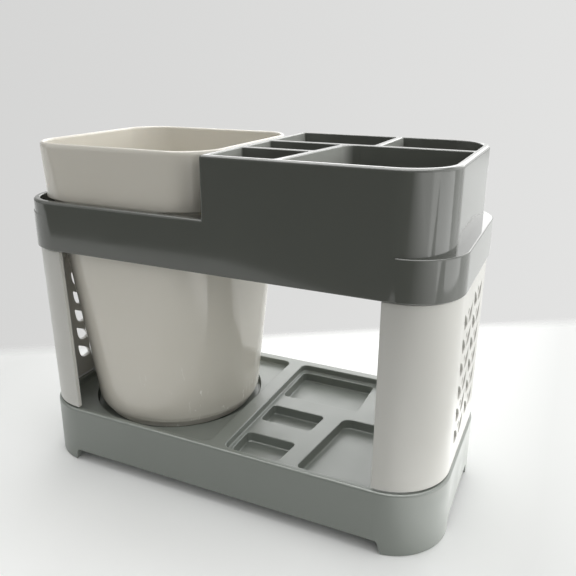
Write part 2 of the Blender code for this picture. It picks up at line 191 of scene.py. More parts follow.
# What every moulding of this holder shows: colour that drifts a little with the melt's flow, gloss that
# varies where hands and cloths have been, fine orange peel, and long shallow sinks that make reflections
# waver. Each noise is scaled by the real size of its pattern in metres.
def moulded(name, colour, streak_colour, roughness, ior, peel_height, sink_height, sink_size):
    material, tree = new_material(name)
    place = node(tree, "ShaderNodeTexCoord")["Object"]
    flow, wiped, grain, sinks = [
        node(tree, "ShaderNodeTexNoise", {"Vector": place, "Scale": 1 / spacing, "Detail": detail})["Fac"]
        for spacing, detail in ((0.045, 3.0), (0.011, 4.0), (0.0011, 2.0), (sink_size, 0.5))]
    tint = node(tree, "ShaderNodeMix", {0: flow, 6: linear(colour), 7: linear(streak_colour)},
                data_type="RGBA")[2]
    gloss = node(tree, "ShaderNodeMapRange", {
        "Value": wiped, "From Min": 0.3, "From Max": 0.7,
        "To Min": roughness * 0.85, "To Max": roughness * 1.2})["Result"]
    waver = node(tree, "ShaderNodeBump", {"Height": sinks, "Distance": sink_height,
                                          "Strength": 1.0})["Normal"]
    peel = node(tree, "ShaderNodeBump", {"Height": grain, "Distance": peel_height, "Strength": 1.0,
                                         "Normal": waver})["Normal"]
    shader = node(tree, "ShaderNodeBsdfPrincipled", {"Base Color": tint, "Roughness": gloss, "IOR": ior,
                                                     "Normal": peel})["BSDF"]
    node(tree, "ShaderNodeOutputMaterial", {"Surface": shader})
    return material


# The compartments of the brush box and the pockets below them share their dividing lines:
# two brush slots in front beside a slanting wall and a bay for paste, with two wide slots behind.
rack_wall, rack_overhang, divider = 0.0025, 0.0005, 0.0026
first_slot_depth, second_slot_depth, back_slot_length = 0.0222, 0.0204, 0.0404
slot_front, slot_back = 0.0232, 0.0289
cell_y = base_y + rack_overhang - rack_wall
first_y = -cell_y + first_slot_depth + divider / 2
row_y = first_y + divider + second_slot_depth
back_x = rack_wall + back_slot_length + divider / 2


# The middle of the slanting wall
def slant_x(y):
    share = (y + cell_y) / (row_y + cell_y)
    return rack_wall + slot_front + (slot_back - slot_front) * share + divider / 2


# Outlines and corner radii of the five compartments, each held back from its dividing lines
def cells(x_low, x_high, y_low, y_high, before, behind, left, right, row, sides,
          corner, bay_corner, end_corner):
    slots = [(y_low, first_y - before), (first_y + behind, row_y - before)]
    shapes = []
    for low, high in slots:
        slot = [(x_low, low), (slant_x(low) - left, low), (slant_x(high) - left, high), (x_low, high)]
        shapes.append((slot, [corner] * 4))
    bay_back = row_y - row
    bay = [(slant_x(y_low) + right, y_low), (x_high, y_low),
           (x_high, bay_back), (slant_x(bay_back) + right, bay_back)]
    shapes.append((bay, [corner, end_corner, corner, bay_corner]))
    shapes.append((rectangle(x_low, back_x - sides, row_y + row, y_high), [corner] * 4))
    shapes.append((rectangle(back_x + sides, x_high, row_y + row, y_high),
                   [corner, corner, end_corner, corner]))
    return shapes


base_outline = rectangle(-end_x, end_x, -base_y, base_y)
base_corners = [base_corner] * 4
rib_left, rib_right = -0.0021, 0.0045
recess_corner, roof_edge = 0.003, 0.0012
recess_foot, well_foot, pocket_foot, pocket_mouth = 0.0006, 0.0005, 0.0007, 0.0004
tray_end = end_x - land_end
tray_front, tray_back = -base_y + land_front, base_y - land_back
tray_corner = base_corner - land_end
cup_low, cup_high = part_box("rinse_cup")
cup_x = (cup_low.x + cup_high.x) / 2
well_radius = 0.0362
well = (rectangle(cup_x - well_radius, cup_x + well_radius, -well_radius, well_radius), [well_radius] * 4)
pockets = cells(rib_right + 0.0017, tray_end - 0.0055, tray_front + 0.0034, tray_back - 0.0024,
                before=0.0060, behind=0.0045, left=0.0025, right=0.0052, row=0.0036, sides=0.0042,
                corner=0.0018, bay_corner=0.004, end_corner=tray_corner - 0.0055)

base_tray = as_object("moulded_base_tray", stack(
    base_outline, base_corners, rolled_under(0.0, base_edge / 2) + rolled(base_z, base_edge)))
roof = [(-clear, base_wall)]
roof += [(z, base_wall + inset) for z, inset in rolled(deck_z - floor_wall, roof_edge)]
carve(base_tray, "DIFFERENCE", [stack(base_outline, base_corners, roof)])
for (shape, radii), floor in [(well, well_z)] + [(pocket, pocket_z) for pocket in pockets]:
    levels = [(floor - floor_wall, -floor_wall), (deck_z - clear, -floor_wall)]
    carve(base_tray, "UNION", [stack(shape, radii, levels, 12)])
recess_corners = ([tray_corner, recess_corner, recess_corner, tray_corner],
                  [recess_corner, tray_corner, tray_corner, recess_corner])
recess_shapes = (rectangle(-tray_end, rib_left, tray_front, tray_back),
                 rectangle(rib_right, tray_end, tray_front, tray_back))
for shape, radii in zip(recess_shapes, recess_corners):
    carve(base_tray, "DIFFERENCE", [hollow(shape, radii, deck_z, recess_foot, base_z, mouth_edge)])
carve(base_tray, "DIFFERENCE", [hollow(*well, well_z, well_foot, deck_z, mouth_edge, 32)])
for shape, radii in pockets:
    carve(base_tray, "DIFFERENCE", [hollow(shape, radii, pocket_z, pocket_foot, deck_z, pocket_mouth, 10)])

# The end panels' tongues, and the blind slots that they push into
slot_x = end_x - 0.0020
tongue_long, tongue_wide, tongue_thick, tongue_space = 0.0037, 0.0100, 0.0012, 0.028
tongue_root, tongue_corner, slot_gap = 0.0010, 0.0002, 0.0003


def tongues(z_low, z_high, gap=0.0, sides=(-1, 1)):
    half_x, half_y = tongue_thick / 2 + gap, tongue_wide / 2 + gap
    shapes = []
    for side in sides:
        for y in (-tongue_space / 2, tongue_space / 2):
            outline = rectangle(side * slot_x - half_x, side * slot_x + half_x, y - half_y, y + half_y)
            shapes.append(stack(outline, [tongue_corner] * 4, [(z_low, 0.0), (z_high, 0.0)], 2))
    return shapes


carve(base_tray, "DIFFERENCE", tongues(base_z - tongue_long - slot_gap, base_z + clear, slot_gap))

# Arches along the sides and ends that leave a foot at each corner, with a rolled outer edge
foot_length, foot_width, foot_z, foot_slant = 0.0198, 0.0240, 0.005, 0.0018
arch_corner, arch_edge = 0.0013, 0.0003
for half_span, reach, turned in ((end_x - foot_length, base_y, False), (base_y - foot_width, end_x, True)):
    profile = [(-half_span - foot_slant, -clear), (half_span + foot_slant, -clear),
               (half_span, foot_z), (-half_span, foot_z)]
    edge = [(reach - arch_edge + z, -inset) for z, inset in rolled(arch_edge, arch_edge, 3)]
    places = [(-y, inset) for y, inset in reversed(edge)] + edge
    places = [(-reach - clear, -arch_edge)] + places + [(reach + clear, -arch_edge)]
    rings = []
    for along, inset in places:
        ring = rounded(profile, [0.0, 0.0, arch_corner, arch_corner], inset, 6)
        rings.append([(along, x, z) if turned else (x, along, z) for x, z in ring])
    carve(base_tray, "DIFFERENCE", [skin(rings)])

# Satin grey ABS: mid grey with a faint green cast, and a soft, blurred shine on the upward faces
base_grey = moulded("satin_moulded_grey_abs", "#7F847E", "#7A7F79", roughness=0.33, ior=1.72,
                    peel_height=0.0000015, sink_height=0.00003, sink_size=0.026)
base_tray.data.materials.append(base_grey)
smoothed(base_tray)
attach(base_tray, "stand")
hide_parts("base_tray")


# End panels: two warm-white mouldings, each one 2 mm wall that turns round both corners of an end.
# Injection moulded with the vine piercings formed by pins in the tool, and fixed by tongues that
# push into the tray below and the rack above.
panel_wall, panel_inset, panel_edge = 0.0020, 0.0008, 0.0003
band_corner = 0.0185
panel_ends = {"left": (-1, 0.0221, 0.0022), "right": (1, 0.0229, 0.0003)}
seam, seam_above = 0.0007, 0.0004
panel_foot = base_z + seam
panel_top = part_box("upper_rack")[0].z - seam_above
wall_x = end_x - panel_inset - panel_wall / 2
wall_y = base_y - panel_inset - panel_wall / 2
vines, rows = 2, 6
vine_pitch, row_pitch, first_row, vine_stagger = 0.0186, 0.0086, 0.0118, 0.0022


def new_tree(name, sizes):
    tree = bpy.data.node_groups.new(name, "GeometryNodeTree")
    tree.interface.new_socket("Geometry", in_out="INPUT", socket_type="NodeSocketGeometry")
    for size in sizes:
        tree.interface.new_socket(size, in_out="INPUT", socket_type="NodeSocketFloat")
    tree.interface.new_socket("Finish", in_out="INPUT", socket_type="NodeSocketMaterial")
    tree.interface.new_socket("Geometry", in_out="OUTPUT", socket_type="NodeSocketGeometry")
    return tree, node(tree, "NodeGroupInput")


def grown(piece, tree, values):
    growth = piece.modifiers.new("grown", "NODES")
    growth.node_group = tree
    for socket in tree.interface.items_tree:
        if socket.in_out == "INPUT" and socket.name in values:
            growth[socket.identifier] = values[socket.name]
    return settled(piece)


def maths(tree, operation, *values, **settings):
    return node(tree, "ShaderNodeMath", dict(enumerate(values)), operation=operation, **settings)[0]


panel_tree, size = new_tree("pierced_end_panel", [
    "Foot corner", "Top corner", "Draft", "Wall", "Height", "Foot height", "Wall place",
    "Leaf length", "Leaf width", "Leaf bend", "Leaf spread", "Leaf turn", "Berry radius", "Berry rise",
    "First row", "Row pitch", "Vine pitch", "Vine stagger"])

# The wall: a plan line with its corners turned, swept with an upright section. It is swept once with the
# tray's corners and once with the band's, which are tighter, and blends from the one to the other as it
# rises.
section = node(panel_tree, "GeometryNodeCurvePrimitiveQuadrilateral",
               {"Width": size["Wall"], "Height": size["Height"]})[0]


def swept(line, radius):
    line = node(panel_tree, "GeometryNodeFilletCurve", {"Curve": line, "Count": 24, "Radius": radius},
                mode="POLY")[0]
    return node(panel_tree, "GeometryNodeCurveToMesh", {"Curve": line, "Profile Curve": section,
                                                        "Fill Caps": True})[0]


plan = node(panel_tree, "GeometryNodeMeshToCurve", {"Mesh": size["Geometry"]})[0]
free_ends = node(panel_tree, "GeometryNodeCurveEndpointSelection")[0]
drawn_back = node(panel_tree, "ShaderNodeCombineXYZ", {"X": size["Draft"]})[0]
top_plan = node(panel_tree, "GeometryNodeSetPosition", {"Geometry": plan, "Selection": free_ends,
                                                        "Offset": drawn_back})[0]
here = node(panel_tree, "GeometryNodeInputPosition")[0]
there = node(panel_tree, "GeometryNodeSampleIndex", {
    "Geometry": swept(top_plan, size["Top corner"]), "Value": here,
    "Index": node(panel_tree, "GeometryNodeInputIndex")[0]}, data_type="FLOAT_VECTOR")[0]
here_z = node(panel_tree, "ShaderNodeSeparateXYZ", {0: here})[2]
risen = maths(panel_tree, "ADD", maths(panel_tree, "DIVIDE", here_z, size["Height"]), 0.5)
blended = node(panel_tree, "ShaderNodeMix", {0: risen, 4: here, 5: there}, data_type="VECTOR")[1]
wall = node(panel_tree, "GeometryNodeSetPosition", {"Geometry": swept(plan, size["Foot corner"]),
                                                    "Position": blended})[0]
middle = maths(panel_tree, "MULTIPLY_ADD", size["Height"], 0.5, size["Foot height"])
raised = node(panel_tree, "ShaderNodeCombineXYZ", {"Z": middle})[0]
wall = node(panel_tree, "GeometryNodeTransform", {"Geometry": wall, "Translation": raised})[0]

# A leaf: a circle of points drawn out along a bent spine, and swelling between its tips
points = 26
turn = maths(panel_tree, "MULTIPLY_ADD", node(panel_tree, "GeometryNodeInputIndex")[0], math.tau / points,
             math.pi / points)
along = maths(panel_tree, "MULTIPLY_ADD", maths(panel_tree, "COSINE", turn), 0.5, 0.5)
swell = maths(panel_tree, "MULTIPLY", maths(panel_tree, "POWER", along, 0.8), math.pi)
swell = maths(panel_tree, "SINE", swell)
half_width = maths(panel_tree, "MULTIPLY", size["Leaf width"], 0.5)
swell = maths(panel_tree, "MULTIPLY", swell, half_width)
side_sign = maths(panel_tree, "SIGN", maths(panel_tree, "SINE", turn))
arc = maths(panel_tree, "MULTIPLY", along, maths(panel_tree, "SUBTRACT", 1.0, along))
spine = maths(panel_tree, "MULTIPLY", maths(panel_tree, "MULTIPLY_ADD", arc, 4.0, -0.5), size["Leaf bend"])
across = maths(panel_tree, "MULTIPLY_ADD", swell, side_sign, spine)
lengthways = maths(panel_tree, "MULTIPLY", maths(panel_tree, "SUBTRACT", along, 0.5), size["Leaf length"])
leaf_point = node(panel_tree, "ShaderNodeCombineXYZ", {"X": lengthways, "Y": across})[0]
leaf = node(panel_tree, "GeometryNodeCurvePrimitiveCircle", {"Resolution": points})[0]
leaf = node(panel_tree, "GeometryNodeSetPosition", {"Geometry": leaf, "Position": leaf_point})[0]
leaf_turn = node(panel_tree, "ShaderNodeCombineXYZ", {"Z": size["Leaf turn"]})[0]
leaf_shift = node(panel_tree, "ShaderNodeCombineXYZ", {"X": size["Leaf spread"]})[0]
leaf = node(panel_tree, "GeometryNodeTransform", {"Geometry": leaf, "Translation": leaf_shift,
                                                  "Rotation": leaf_turn})[0]
mirrored = node(panel_tree, "GeometryNodeTransform", {"Geometry": leaf, "Scale": (-1.0, 1.0, 1.0)})[0]
berry = node(panel_tree, "GeometryNodeCurvePrimitiveCircle",
             {"Resolution": 20, "Radius": size["Berry radius"]})[0]
berry_shift = node(panel_tree, "ShaderNodeCombineXYZ", {"Y": size["Berry rise"]})[0]
berry = node(panel_tree, "GeometryNodeTransform", {"Geometry": berry, "Translation": berry_shift})[0]
sprig = node(panel_tree, "GeometryNodeJoinGeometry")
for outline in (berry, mirrored, leaf):
    panel_tree.links.new(outline, panel_tree.nodes[-1].inputs[0])

# The sprig is filled and given a depth of twice the wall, then set out in staggered rows
sprig = node(panel_tree, "GeometryNodeFillCurve", {"Curve": sprig[0]}, mode="NGONS")[0]
reach = maths(panel_tree, "MULTIPLY", size["Wall"], 2.0)
raised_sprig = node(panel_tree, "GeometryNodeExtrudeMesh",
                    {"Mesh": sprig, "Offset Scale": reach, "Individual": False})
turned_over = node(panel_tree, "GeometryNodeFlipFaces", {"Mesh": sprig})[0]
sprig = node(panel_tree, "GeometryNodeJoinGeometry")
for half in (turned_over, raised_sprig[0]):
    panel_tree.links.new(half, panel_tree.nodes[-1].inputs[0])
sprig = node(panel_tree, "GeometryNodeMergeByDistance", {"Geometry": sprig[0], "Distance": 1e-6})[0]
across_vines = maths(panel_tree, "MULTIPLY", size["Vine pitch"], vines - 1.0)
up_rows = maths(panel_tree, "MULTIPLY", size["Row pitch"], rows - 1.0)
sprig_places = node(panel_tree, "GeometryNodeMeshGrid", {"Size X": across_vines, "Size Y": up_rows,
                                                         "Vertices X": vines, "Vertices Y": rows})[0]
place = node(panel_tree, "GeometryNodeInputPosition")[0]
place_x = node(panel_tree, "ShaderNodeSeparateXYZ", {0: place})[0]
vine = maths(panel_tree, "ADD", maths(panel_tree, "DIVIDE", place_x, size["Vine pitch"]), (vines - 1) / 2)
step_up = maths(panel_tree, "MULTIPLY", vine, size["Vine stagger"])
stagger = node(panel_tree, "ShaderNodeCombineXYZ", {"Y": step_up})[0]
sprig_places = node(panel_tree, "GeometryNodeSetPosition", {"Geometry": sprig_places, "Offset": stagger})[0]
sprigs = node(panel_tree, "GeometryNodeInstanceOnPoints", {"Points": sprig_places, "Instance": sprig})[0]
sprigs = node(panel_tree, "GeometryNodeRealizeInstances", {"Geometry": sprigs})[0]
vine_middle = maths(panel_tree, "ADD", maths(panel_tree, "MULTIPLY_ADD", up_rows, 0.5, size["First row"]),
                    size["Foot height"])
vine_x = maths(panel_tree, "SUBTRACT", size["Wall place"], size["Wall"])
vine_shift = node(panel_tree, "ShaderNodeCombineXYZ", {"X": vine_x, "Z": vine_middle})[0]
sprigs = node(panel_tree, "GeometryNodeTransform", {"Geometry": sprigs, "Translation": vine_shift,
                                                    "Rotation": (math.pi / 2, 0.0, math.pi / 2)})[0]
pierced = node(panel_tree, "GeometryNodeMeshBoolean", {0: wall, 1: sprigs}, operation="DIFFERENCE",
               solver="EXACT")[0]
pierced = node(panel_tree, "GeometryNodeRealizeInstances", {"Geometry": pierced})[0]
pierced = node(panel_tree, "GeometryNodeSetMaterial", {"Geometry": pierced, "Material": size["Finish"]})[0]
node(panel_tree, "NodeGroupOutput", {"Geometry": pierced})

# Warm-white moulded ABS: near white with a little yellow, an even semi-gloss and barely any waver
panel_white = moulded("warm_white_moulded_abs", "#C8C7C2", "#C3C2BC", roughness=0.34, ior=1.50,
                      peel_height=0.000002, sink_height=0.00002, sink_size=0.030)
for name, (side, panel_reach, panel_draft) in panel_ends.items():
    shape = bmesh.new()
    near_x = end_x - panel_reach
    path = [(near_x, -wall_y), (wall_x, -wall_y), (wall_x, wall_y), (near_x, wall_y)]
    line = [shape.verts.new((side * x, y, 0.0)) for x, y in path]
    for start, end in zip(line, line[1:]):
        shape.edges.new((start, end))
    panel = as_object("pierced_" + name + "_panel", shape)
    grown(panel, panel_tree, {
        "Foot corner": base_corner - panel_inset - panel_wall / 2,
        "Top corner": band_corner - panel_inset - panel_wall / 2,
        "Draft": side * panel_draft, "Wall": panel_wall, "Wall place": side * wall_x,
        "Height": panel_top - panel_foot, "Foot height": panel_foot,
        "Leaf length": 0.0094, "Leaf width": 0.0046, "Leaf bend": -0.0012, "Leaf spread": 0.0048,
        "Leaf turn": math.radians(40), "Berry radius": 0.0012, "Berry rise": 0.0018,
        "First row": first_row - seam, "Row pitch": row_pitch,
        "Vine pitch": vine_pitch, "Vine stagger": vine_stagger, "Finish": panel_white})
    soften = panel.modifiers.new("rolled_edges", "BEVEL")
    soften.width = panel_edge
    soften.segments = 3
    soften.limit_method = "ANGLE"
    soften.angle_limit = math.radians(50)
    soften.use_clamp_overlap = False
    soften.loop_slide = False
    settled(panel)
    carve(panel, "UNION", tongues(panel_foot - tongue_long, panel_foot + tongue_root, sides=(side,))
          + tongues(panel_top - tongue_root, panel_top + tongue_long, sides=(side,)))
    smoothed(panel)
    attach(panel, "stand")
    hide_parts(name + "_end_panel")


# Upper rack: one darker grey ABS moulding with a band along the whole length, a low ring round the cup
# and a tall box of five open compartments. Moulded glossy, and pressed down onto the panels' upper tongues.
rack_low, rack_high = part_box("upper_rack")
rack_y = rack_high.y
band_top = rack_low.z + 0.0141
ring_top = band_top + 0.0049
box_end = end_x - 0.0037
box_corner, square_corner = 0.0175, 0.0008
slot_corner, bay_corner = 0.0010, 0.0060
ring_step, ring_end, ring_steps = 0.0012, 0.0175, 23
rim, mouth_rim, cell_foot = 0.0011, 0.0005, 0.0004

rack = as_object("moulded_upper_rack", stack(
    rectangle(-end_x, end_x, -rack_y, rack_y), [band_corner] * 4,
    rolled_under(rack_low.z, mouth_rim) + rolled(band_top, mouth_rim)))
ring_corner = band_corner - ring_step
ring = stack(rectangle(-end_x + ring_step, ring_end, -rack_y, rack_y),
             [ring_corner, square_corner, square_corner, ring_corner],
             [((rack_low.z + band_top) / 2, 0.0)] + rolled(ring_top, rim), ring_steps)
carve(rack, "UNION", [ring])
hole_y = rack_y - rack_wall
hole_corner = ring_corner - rack_wall
edges = rolled_under(rack_low.z, mouth_rim) + rolled(ring_top, mouth_rim)
hole_levels = [(rack_low.z - clear, -mouth_rim)] + [(z, -inset) for z, inset in edges]
hole_levels += [(ring_top + clear, -mouth_rim)]
carve(rack, "DIFFERENCE", [stack(rectangle(-end_x + ring_step + rack_wall, clear, -hole_y, hole_y),
                                 [hole_corner, square_corner, square_corner, hole_corner], hole_levels)])

box_levels = [(rack_low.z + mouth_rim, 0.0)] + rolled(rack_high.z, rim)
carve(rack, "UNION", [stack(rectangle(0.0, box_end, -rack_y, rack_y),
                            [square_corner, box_corner, box_corner, square_corner], box_levels)])
half = divider / 2
edges = rolled_under(rack_low.z, cell_foot) + rolled(rack_high.z, mouth_rim)
cell_levels = [(rack_low.z - clear, -cell_foot)] + [(z, -inset) for z, inset in edges]
cell_levels += [(rack_high.z + clear, -mouth_rim)]
for shape, radii in cells(rack_wall, box_end - rack_wall, -hole_y, hole_y,
                          before=half, behind=half, left=half, right=half, row=half, sides=half,
                          corner=slot_corner, bay_corner=bay_corner, end_corner=box_corner - rack_wall):
    carve(rack, "DIFFERENCE", [stack(shape, radii, cell_levels, 14)])
carve(rack, "DIFFERENCE", tongues(rack_low.z - clear, rack_low.z + tongue_long + slot_gap, slot_gap))

# Glossy grey ABS: the same grey in a darker melt, polished enough that the floor's edge shows in the band.
# The walls inside the box that face right are painted paler: painted light standing in for the light from
# the right that falls on them.
rack_grey = moulded("gloss_moulded_dark_grey_abs", "#5E605B", "#595B56", roughness=0.08, ior=1.57,
                    peel_height=0.0000012, sink_height=0.00003, sink_size=0.025)
tree = rack_grey.node_tree
surface = node(tree, "ShaderNodeTexCoord")
place_x = node(tree, "ShaderNodeSeparateXYZ", {0: surface["Object"]})[0]
facing_x = node(tree, "ShaderNodeSeparateXYZ", {0: surface["Normal"]})[0]
# Painted light: faces in the box that turn to the right are mixed towards a paler grey, as if lit from the
# right
scuffs_and_painted_light = node(tree, "ShaderNodeMapRange", {"Value": facing_x, "From Min": 0.45,
                                            "From Max": 0.95})["Result"]
in_box = maths(tree, "MULTIPLY", maths(tree, "GREATER_THAN", place_x, 0.0),
               maths(tree, "LESS_THAN", place_x, box_end - box_corner))
scuffs_and_painted_light = maths(tree, "MULTIPLY", scuffs_and_painted_light, in_box)
shader = next(item for item in tree.nodes if item.bl_idname == "ShaderNodeBsdfPrincipled")
tint = shader.inputs["Base Color"].links[0].from_socket
scuffs_and_painted_light = node(tree, "ShaderNodeMix", {0: scuffs_and_painted_light, 6: tint, 7: linear("#A9ABA6")}, data_type="RGBA")[2]
tree.links.new(scuffs_and_painted_light, shader.inputs["Base Color"])
rack.data.materials.append(rack_grey)
smoothed(rack)
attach(rack, "stand")
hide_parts("upper_rack")


# Rinse cup: a loose thin-walled tumbler of beige polypropylene, round at its recessed foot ring and drawn
# out to a rounded square under a shoulder, with a flared collar and a rolled lip. It stands in the well.
cup_height = cup_high.z - cup_low.z
rim_flare = 0.0003
collar = (cup_high.y - cup_low.y) / 2 - rim_flare
body_corner, collar_corner, rim_corner = 0.021, 0.0165, 0.0155
shoulder_z = ring_top + 0.0006 - cup_low.z
shoulder_step, shoulder_rise, shelf = 0.0004, 0.0016, 0.0012
cup_wall, cup_floor, floor_corner = 0.0018, 0.0020, 0.004
foot_radius, foot_height, foot_step, foot_wall, foot_recess = 0.0352, 0.0053, 0.0032, 0.0020, 0.0020
heel_step, heel_height = 0.0008, 0.0017

cup_tree, size = new_tree("square_to_round_cup", [
    "Height", "Foot height", "Foot radius", "Body half", "Body corner", "Shoulder height", "Shoulder rise",
    "Shoulder step", "Collar corner", "Rim flare", "Rim corner"])
profile = node(cup_tree, "GeometryNodeMeshToCurve", {"Mesh": size["Geometry"]})[0]
spot = node(cup_tree, "GeometryNodeInputPosition")[0]
profile = node(cup_tree, "GeometryNodeStoreNamedAttribute",
               {"Geometry": profile, "Name": "section", "Value": spot}, data_type="FLOAT_VECTOR")[0]
circle = node(cup_tree, "GeometryNodeCurvePrimitiveCircle", {"Resolution": 160, "Radius": 1.0})[0]
circle = node(cup_tree, "GeometryNodeStoreNamedAttribute",
              {"Geometry": circle, "Name": "heading", "Value": spot}, data_type="FLOAT_VECTOR")[0]
shell = node(cup_tree, "GeometryNodeCurveToMesh", {"Curve": circle, "Profile Curve": profile})[0]
section, heading = [
    node(cup_tree, "GeometryNodeInputNamedAttribute", {"Name": name}, data_type="FLOAT_VECTOR")[0]
    for name in ("section", "heading")]
inset, height, level = node(cup_tree, "ShaderNodeSeparateXYZ", {0: section})
below = maths(cup_tree, "SUBTRACT", size["Shoulder height"], size["Shoulder rise"])


def climb(low, high, reached, shape="LINEAR"):
    return node(cup_tree, "ShaderNodeMapRange",
                {"Value": level, "From Min": low, "From Max": high, "To Min": 0.0, "To Max": reached},
                interpolation_type=shape)[0]


widening = maths(cup_tree, "SUBTRACT", size["Body half"], size["Foot radius"])
tightening = maths(cup_tree, "SUBTRACT", size["Body corner"], size["Foot radius"])
reach = maths(cup_tree, "ADD", size["Foot radius"], climb(size["Foot height"], below, widening))
shoulder = climb(below, size["Shoulder height"], size["Shoulder step"], "SMOOTHSTEP")
reach = maths(cup_tree, "ADD", reach, shoulder)
reach = maths(cup_tree, "ADD", reach, climb(size["Shoulder height"], size["Height"], size["Rim flare"]))
corner = maths(cup_tree, "ADD", size["Foot radius"], climb(size["Foot height"], below, tightening))
for low, high, start, end in ((below, "Shoulder height", "Body corner", "Collar corner"),
                              (size["Shoulder height"], "Height", "Collar corner", "Rim corner")):
    change = maths(cup_tree, "SUBTRACT", size[end], size[start])
    corner = maths(cup_tree, "ADD", corner, climb(low, size[high], change, "SMOOTHSTEP"))
quarter = node(cup_tree, "ShaderNodeVectorMath", {0: heading}, operation="SIGN")[0]
straight = maths(cup_tree, "SUBTRACT", reach, corner)
outwards = node(cup_tree, "ShaderNodeVectorMath", {0: quarter, "Scale": straight}, operation="SCALE")[0]
bend = maths(cup_tree, "SUBTRACT", corner, inset)
round_part = node(cup_tree, "ShaderNodeVectorMath", {0: heading, "Scale": bend}, operation="SCALE")[0]
upwards = node(cup_tree, "ShaderNodeCombineXYZ", {"Z": height})[0]
spot = node(cup_tree, "ShaderNodeVectorMath", {0: outwards, 1: round_part}, operation="ADD")[0]
spot = node(cup_tree, "ShaderNodeVectorMath", {0: spot, 1: upwards}, operation="ADD")[0]
shell = node(cup_tree, "GeometryNodeSetPosition", {"Geometry": shell, "Position": spot})[0]
for name in ("section", "heading"):
    shell = node(cup_tree, "GeometryNodeRemoveAttribute", {"Geometry": shell, "Name": name})[0]
shell = node(cup_tree, "GeometryNodeRealizeInstances", {"Geometry": shell})[0]
shell = node(cup_tree, "GeometryNodeSetMaterial", {"Geometry": shell, "Material": size["Finish"]})[0]
node(cup_tree, "NodeGroupOutput", {"Geometry": shell})

# The half section from the underside, round the foot ring and the heel, up the outside, over the lip and
# down the inside. The lip rolls over deeper outside than inside. Each point is its inset, its height, and
# the height at which the outside sets its size.
lip, lip_outside = cup_wall / 2, 0.0019
inner_foot = foot_step + foot_wall
heel_z = foot_height - heel_height
below_z = shoulder_z - shoulder_rise
floor_z = foot_recess + cup_floor
soft = 0.0004
body_levels = [foot_height + soft + (below_z - foot_height - soft) * step / 12 for step in range(13)]
shoulder_levels = [below_z + shoulder_rise * step / 8 for step in range(1, 9)]
collar_levels = [shoulder_z + (cup_height - lip_outside - shoulder_z) * step / 5 for step in range(1, 5)]
trace = [(inner_foot + 5 * soft, foot_recess), (inner_foot + soft, foot_recess),
         (inner_foot, foot_recess - soft), (inner_foot, soft), (inner_foot - soft, 0.0),
         (foot_step + soft, 0.0), (foot_step, soft), (foot_step, heel_z - soft),
         (foot_step - soft, heel_z), (heel_step + soft, heel_z), (heel_step + soft / 4, heel_z + soft / 4),
         (heel_step, heel_z + soft), (heel_step, foot_height - soft / 2),
         (heel_step / 2, foot_height), (soft / 4, foot_height + soft / 4)]
trace = [(place, z, z) for place, z in trace]
trace += [(0.0, z, z) for z in body_levels + shoulder_levels + collar_levels]
for step in range(13):
    angle = math.pi * step / 12
    z = cup_height - (lip_outside if step < 6 else lip) * (1 - math.sin(angle))
    trace.append((lip - lip * math.cos(angle), z, z))
trace += [(cup_wall, z, z) for z in reversed(collar_levels[1:])]
trace += [(cup_wall, z + shelf, z) for z in reversed(shoulder_levels)]
trace += [(cup_wall, z, z) for z in reversed(body_levels) if z > floor_z + floor_corner]
for step in range(9):
    angle = math.pi / 2 * step / 8
    z = floor_z + floor_corner * (1 - math.sin(angle))
    trace.append((cup_wall + floor_corner * (1 - math.cos(angle)), z, z))
shape = bmesh.new()
line = [shape.verts.new(point) for point in trace]
for start, end in zip(line, line[1:]):
    shape.edges.new((start, end))
cup = as_object("square_to_round_cup", shape)

# Beige polypropylene: milky and glossy, a little light passes into it, with fine pale scratches low on the
# side that rubs against the box
cup_beige, tree = new_material("gloss_moulded_beige_polypropylene")
place = node(tree, "ShaderNodeTexCoord")["Object"]
flow = node(tree, "ShaderNodeTexNoise", {"Vector": place, "Scale": 1 / 0.030, "Detail": 3.0})["Fac"]
tint = node(tree, "ShaderNodeMix", {0: flow, 6: linear("#DCD8CE"), 7: linear("#D7D3C8")},
            data_type="RGBA")[2]
stretched = node(tree, "ShaderNodeMapping",
                 {"Vector": place, "Scale": (1 / 0.0011, 1 / 0.0011, 1 / 0.006)})[0]
strokes = node(tree, "ShaderNodeTexNoise",
               {"Vector": stretched, "Scale": 1.0, "Detail": 1.0, "Distortion": 1.2})["Fac"]
strokes = node(tree, "ShaderNodeMapRange", {"Value": strokes, "From Min": 0.66, "From Max": 0.72})["Result"]
patches = node(tree, "ShaderNodeTexNoise", {"Vector": place, "Scale": 1 / 0.013, "Detail": 1.0})["Fac"]
patches = node(tree, "ShaderNodeMapRange", {"Value": patches, "From Min": 0.52, "From Max": 0.60})["Result"]
along = node(tree, "ShaderNodeSeparateXYZ", {0: place})
handled = node(tree, "ShaderNodeMapRange", {"Value": along["X"], "From Min": cup_x + 0.004,
                                            "From Max": cup_x + 0.012})["Result"]
low = node(tree, "ShaderNodeMapRange", {"Value": along["Z"], "From Min": 0.050,
                                        "From Max": 0.040})["Result"]
marks = maths(tree, "MULTIPLY", maths(tree, "MULTIPLY", strokes, patches),
              maths(tree, "MULTIPLY", handled, low))
# On the cup this mix holds only the pale scratches, no painted light
scuffs_and_painted_light = node(tree, "ShaderNodeMix", {0: marks, 6: tint, 7: linear("#EDEBE4")}, data_type="RGBA")[2]
gloss = node(tree, "ShaderNodeMapRange", {"Value": marks, "To Min": 0.08, "To Max": 0.50})["Result"]
sinks = node(tree, "ShaderNodeTexNoise", {"Vector": place, "Scale": 1 / 0.030, "Detail": 0.5})["Fac"]
waver = node(tree, "ShaderNodeBump", {"Height": sinks, "Distance": 0.00003, "Strength": 1.0})["Normal"]
shader = node(tree, "ShaderNodeBsdfPrincipled", {
    "Base Color": scuffs_and_painted_light, "Roughness": gloss, "IOR": 1.49, "Subsurface Weight": 0.05,
    "Subsurface Radius": (0.0016, 0.0014, 0.0012), "Subsurface Scale": 1.0, "Normal": waver})["BSDF"]
node(tree, "ShaderNodeOutputMaterial", {"Surface": shader})

